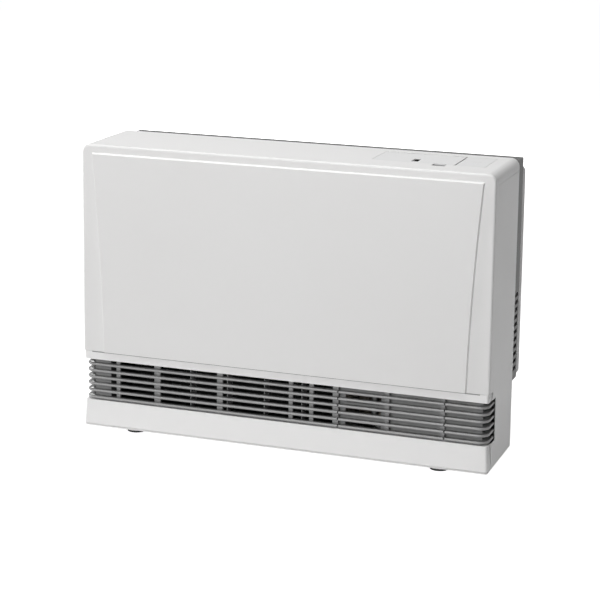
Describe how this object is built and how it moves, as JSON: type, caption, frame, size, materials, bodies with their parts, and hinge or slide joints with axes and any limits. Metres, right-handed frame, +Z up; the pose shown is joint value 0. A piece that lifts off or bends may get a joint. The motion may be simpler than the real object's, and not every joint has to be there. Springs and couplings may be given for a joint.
{
  "type": "gas fan heater",
  "caption": "Wide low floor-standing flued gas fan heater with a wrap-around front louvre, hinged top control lid, cross-flow fan and rear air housing.",
  "frame": {"origin": "on the floor under the middle of the whole heater", "axes": "+Z up, front facing -Y, +X to the right of someone facing the front"},
  "size_m": [0.93, 0.316, 0.65],
  "materials": {
    "white_paint": "satin",
    "lid_plastic": "satin",
    "tray_plastic": "matte",
    "key_plastic": "matte",
    "window_plastic": "gloss",
    "silver_paint": "satin",
    "grey_paint": "satin",
    "black_paint": "matte",
    "zinc_steel": "satin",
    "bright_steel": "satin",
    "heat_steel": "satin",
    "fan_aluminium": "satin",
    "motor_paint": "satin",
    "wheel_plastic": "matte",
    "hose_rubber": "matte",
    "brass": "satin",
    "valve_aluminium": "satin",
    "white_ceramic": "matte",
    "board_green": "satin",
    "plenum_plastic": "matte",
    "cover_plastic": "matte",
    "filter_plastic": "matte",
    "foot_plastic": "matte",
    "foot_rubber": "matte"
  },
  "bodies": {
    "cabinet": {"base_pan": "white_paint", "left_side_panel": "white_paint", "right_side_panel": "white_paint", "front_panel": "white_paint", "top_cover": "white_paint", "louvre_rail": "white_paint", "control_tray": "tray_plastic", "louvre_main": "silver_paint", "louvre_right": "silver_paint", "louvre_corner": "silver_paint", "louvre_backing_left": "grey_paint", "louvre_backing_right": "grey_paint", "outlet_duct": "black_paint", "outlet_vanes": "black_paint", "back_panel": "zinc_steel", "compartment_wall": "zinc_steel", "fan_scroll": "zinc_steel", "board_tray": "zinc_steel", "cover_screws": "zinc_steel", "gas_pipe": "zinc_steel", "fan_bearing": "bright_steel", "burner_box": "bright_steel", "burner_bars": "bright_steel", "combustion_chamber": "heat_steel", "flue_header": "heat_steel", "heat_exchanger": "heat_steel", "exhaust_pipe": "heat_steel", "flue_spigot": "heat_steel", "blower_housing": "heat_steel", "fan_motor": "motor_paint", "blower_motor": "motor_paint", "intake_hose": "hose_rubber", "power_inlet_gland": "hose_rubber", "gas_manifold": "brass", "gas_inlet_union": "brass", "gas_valve": "valve_aluminium", "overheat_switch": "valve_aluminium", "electrodes": "white_ceramic", "operation_board": "board_green", "main_board": "board_green", "rear_plenum": "plenum_plastic", "rear_cover": "cover_plastic", "foot_pads": "foot_rubber"},
    "control_lid": {"control_lid": "lid_plastic", "lid_window": "window_plastic", "lid_hinge_pins": "zinc_steel"},
    "on_off_button": {"on_off_button": "lid_plastic"},
    "fan_rotor": {"fan_rotor": "fan_aluminium", "fan_shaft": "bright_steel"},
    "blower_impeller": {"blower_impeller": "wheel_plastic"},
    "left_air_filter": {"left_air_filter": "filter_plastic"},
    "right_air_filter": {"right_air_filter": "filter_plastic"},
    "temperature_up_key": {"temperature_up_key": "key_plastic"},
    "temperature_down_key": {"temperature_down_key": "key_plastic"},
    "timer_key": {"timer_key": "key_plastic"},
    "economy_key": {"economy_key": "key_plastic"},
    "front_left_adjuster": {"front_left_adjuster": "foot_plastic"},
    "front_right_adjuster": {"front_right_adjuster": "foot_plastic"},
    "rear_left_adjuster": {"rear_left_adjuster": "foot_plastic"},
    "rear_right_adjuster": {"rear_right_adjuster": "foot_plastic"}
  },
  "joints": [
    {"name": "lid_hinge", "type": "hinge", "parent": "cabinet", "child": "control_lid", "pos_m": [0.2675, 0.0165, 0.6455], "axis": [-1, 0, 0], "range_deg": [0, 95]},
    {"name": "on_off_press", "type": "slide", "parent": "cabinet", "child": "on_off_button", "axis": [0, 0, -1], "range_m": [0, 0.0015], "stiffness_N_per_m": 1500},
    {"name": "temperature_up_press", "type": "slide", "parent": "cabinet", "child": "temperature_up_key", "axis": [0, 0, -1], "range_m": [0, 0.0012], "stiffness_N_per_m": 1200},
    {"name": "temperature_down_press", "type": "slide", "parent": "cabinet", "child": "temperature_down_key", "axis": [0, 0, -1], "range_m": [0, 0.0012], "stiffness_N_per_m": 1200},
    {"name": "timer_press", "type": "slide", "parent": "cabinet", "child": "timer_key", "axis": [0, 0, -1], "range_m": [0, 0.0012], "stiffness_N_per_m": 1200},
    {"name": "economy_press", "type": "slide", "parent": "cabinet", "child": "economy_key", "axis": [0, 0, -1], "range_m": [0, 0.0012], "stiffness_N_per_m": 1200},
    {"name": "fan_spin", "type": "hinge", "parent": "cabinet", "child": "fan_rotor", "pos_m": [-0.165, -0.012, 0.548], "axis": [1, 0, 0], "continuous": true},
    {"name": "blower_spin", "type": "hinge", "parent": "cabinet", "child": "blower_impeller", "pos_m": [0.214, -0.046, 0.368], "axis": [0, 1, 0], "continuous": true},
    {"name": "left_filter_slide", "type": "slide", "parent": "cabinet", "child": "left_air_filter", "axis": [-1, 0, 0], "range_m": [0, 0.38]},
    {"name": "right_filter_slide", "type": "slide", "parent": "cabinet", "child": "right_air_filter", "axis": [1, 0, 0], "range_m": [0, 0.38]},
    {"name": "front_left_adjuster_turn", "type": "hinge", "parent": "cabinet", "child": "front_left_adjuster", "pos_m": [-0.352, -0.119, 0.02], "axis": [0, 0, 1], "range_deg": [0, 1440]},
    {"name": "front_right_adjuster_turn", "type": "hinge", "parent": "cabinet", "child": "front_right_adjuster", "pos_m": [0.352, -0.119, 0.02], "axis": [0, 0, 1], "range_deg": [0, 1440]},
    {"name": "rear_left_adjuster_turn", "type": "hinge", "parent": "cabinet", "child": "rear_left_adjuster", "pos_m": [-0.352, 0.013, 0.02], "axis": [0, 0, 1], "range_deg": [0, 1440]},
    {"name": "rear_right_adjuster_turn", "type": "hinge", "parent": "cabinet", "child": "rear_right_adjuster", "pos_m": [0.352, 0.013, 0.02], "axis": [0, 0, 1], "range_deg": [0, 1440]}
  ]
}
